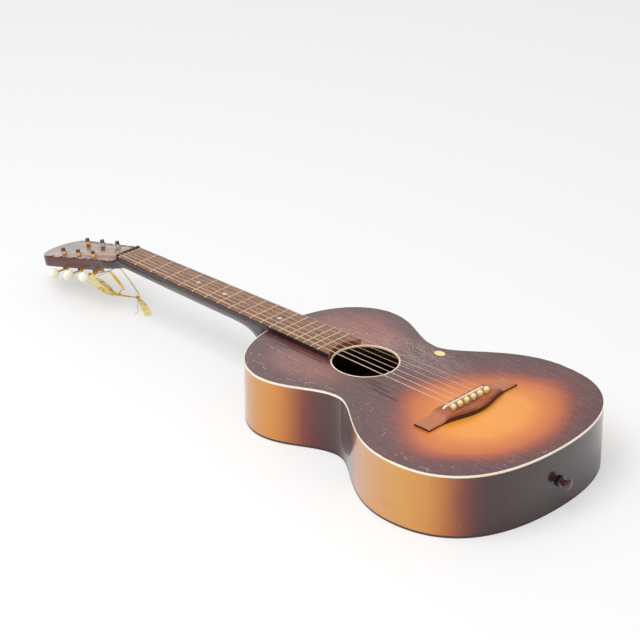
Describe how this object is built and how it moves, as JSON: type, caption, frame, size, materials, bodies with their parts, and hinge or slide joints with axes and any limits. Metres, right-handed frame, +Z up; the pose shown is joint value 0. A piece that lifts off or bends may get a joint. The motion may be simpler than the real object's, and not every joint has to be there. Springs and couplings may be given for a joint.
{
  "type": "guitar",
  "caption": "Small flat-top acoustic guitar with a waisted hollow body, round sound hole, pin bridge, bound top, slim neck and open-geared tuners.",
  "frame": {"origin": "on the surface that the back rests on, under the middle of the whole guitar", "axes": "+Z up out of the soundboard, +X towards the tail, bass side at -Y"},
  "size_m": [0.9847, 0.342, 0.1051],
  "materials": {
    "sunburst_top": "gloss lacquer, amber in the middle to near black at the edge",
    "sunburst_side": "gloss lacquer, shaded brown and amber",
    "dark_lacquer": "gloss, near black brown",
    "raw_wood": "bare",
    "cream_binding": "polished celluloid",
    "rosewood": "oiled, worn",
    "black_nut": "black, satin",
    "bone": "polished bone",
    "ivoroid": "cream, polished",
    "bronze_string": "bronze wound",
    "steel_string": "plain wire",
    "brass": "aged",
    "dark_steel": "aged, dark",
    "end_pin": "reddish brown, gloss",
    "ribbon": "yellow satin"
  },
  "bodies": {
    "guitar": {"soundboard": "sunburst_top", "back": "sunburst_side", "rib_bass": "sunburst_side", "rib_treble": "sunburst_side", "top_binding": "cream_binding", "sound_hole_ring": "cream_binding", "neck_block": "raw_wood", "tail_block": "raw_wood", "top_lining_bass": "raw_wood", "top_lining_treble": "raw_wood", "back_lining_bass": "raw_wood", "back_lining_treble": "raw_wood", "upper_top_brace": "raw_wood", "waist_top_brace": "raw_wood", "lower_top_brace": "raw_wood", "upper_back_brace": "raw_wood", "lower_back_brace": "raw_wood", "bridge_plate": "raw_wood", "bridge": "rosewood", "saddle": "bone", "bridge_pin_1": "ivoroid", "bridge_pin_2": "ivoroid", "bridge_pin_3": "ivoroid", "bridge_pin_4": "ivoroid", "bridge_pin_5": "ivoroid", "bridge_pin_6": "ivoroid", "neck": "dark_lacquer", "fretboard": "rosewood", "fret_marker_5": "ivoroid", "fret_marker_7": "ivoroid", "fret_marker_12": "ivoroid", "nut": "black_nut", "string_low_e": "bronze_string", "string_a": "bronze_string", "string_d": "bronze_string", "string_g": "bronze_string", "string_b": "steel_string", "string_high_e": "steel_string", "tuner_plate_bass": "brass", "tuner_plate_treble": "brass", "end_pin": "end_pin", "ribbon": "ribbon"},
    "tuner_key_1": {"worm_shaft_1": "brass", "tuner_button_1": "ivoroid"},
    "tuner_key_2": {"worm_shaft_2": "brass", "tuner_button_2": "ivoroid"},
    "tuner_key_3": {"worm_shaft_3": "brass", "tuner_button_3": "ivoroid"},
    "tuner_key_4": {"worm_shaft_4": "brass", "tuner_button_4": "ivoroid"},
    "tuner_key_5": {"worm_shaft_5": "brass", "tuner_button_5": "ivoroid"},
    "tuner_key_6": {"worm_shaft_6": "brass", "tuner_button_6": "ivoroid"},
    "post_1": {"string_post_1": "dark_steel"},
    "post_2": {"string_post_2": "dark_steel"},
    "post_3": {"string_post_3": "dark_steel"},
    "post_4": {"string_post_4": "dark_steel"},
    "post_5": {"string_post_5": "dark_steel"},
    "post_6": {"string_post_6": "dark_steel"}
  },
  "joints": [
    {"name": "turn_key_1", "type": "hinge", "parent": "guitar", "child": "tuner_key_1", "pos_m": [-0.36355, -0.0235, 0.06041], "axis": [0, 1, 0], "continuous": true},
    {"name": "turn_key_2", "type": "hinge", "parent": "guitar", "child": "tuner_key_2", "pos_m": [-0.39751, -0.0235, 0.05194], "axis": [0, 1, 0], "continuous": true},
    {"name": "turn_key_3", "type": "hinge", "parent": "guitar", "child": "tuner_key_3", "pos_m": [-0.43147, -0.0235, 0.04347], "axis": [0, 1, 0], "continuous": true},
    {"name": "turn_key_4", "type": "hinge", "parent": "guitar", "child": "tuner_key_4", "pos_m": [-0.43147, 0.0235, 0.04347], "axis": [0, 1, 0], "continuous": true},
    {"name": "turn_key_5", "type": "hinge", "parent": "guitar", "child": "tuner_key_5", "pos_m": [-0.39751, 0.0235, 0.05194], "axis": [0, 1, 0], "continuous": true},
    {"name": "turn_key_6", "type": "hinge", "parent": "guitar", "child": "tuner_key_6", "pos_m": [-0.36355, 0.0235, 0.06041], "axis": [0, 1, 0], "continuous": true},
    {"name": "turn_post_1", "type": "hinge", "parent": "guitar", "child": "post_1", "pos_m": [-0.3703, -0.0235, 0.05873], "axis": [-0.2419, 0, 0.9703], "continuous": true},
    {"name": "turn_post_2", "type": "hinge", "parent": "guitar", "child": "post_2", "pos_m": [-0.40426, -0.0235, 0.05026], "axis": [-0.2419, 0, 0.9703], "continuous": true},
    {"name": "turn_post_3", "type": "hinge", "parent": "guitar", "child": "post_3", "pos_m": [-0.43822, -0.0235, 0.04179], "axis": [-0.2419, 0, 0.9703], "continuous": true},
    {"name": "turn_post_4", "type": "hinge", "parent": "guitar", "child": "post_4", "pos_m": [-0.43822, 0.0235, 0.04179], "axis": [-0.2419, 0, 0.9703], "continuous": true},
    {"name": "turn_post_5", "type": "hinge", "parent": "guitar", "child": "post_5", "pos_m": [-0.40426, 0.0235, 0.05026], "axis": [-0.2419, 0, 0.9703], "continuous": true},
    {"name": "turn_post_6", "type": "hinge", "parent": "guitar", "child": "post_6", "pos_m": [-0.3703, 0.0235, 0.05873], "axis": [-0.2419, 0, 0.9703], "continuous": true}
  ],
  "couplings": [
    {"joint": "turn_post_1", "follows": "turn_key_1", "ratio": -0.071429},
    {"joint": "turn_post_2", "follows": "turn_key_2", "ratio": -0.071429},
    {"joint": "turn_post_3", "follows": "turn_key_3", "ratio": -0.071429},
    {"joint": "turn_post_4", "follows": "turn_key_4", "ratio": -0.071429},
    {"joint": "turn_post_5", "follows": "turn_key_5", "ratio": -0.071429},
    {"joint": "turn_post_6", "follows": "turn_key_6", "ratio": -0.071429}
  ]
}
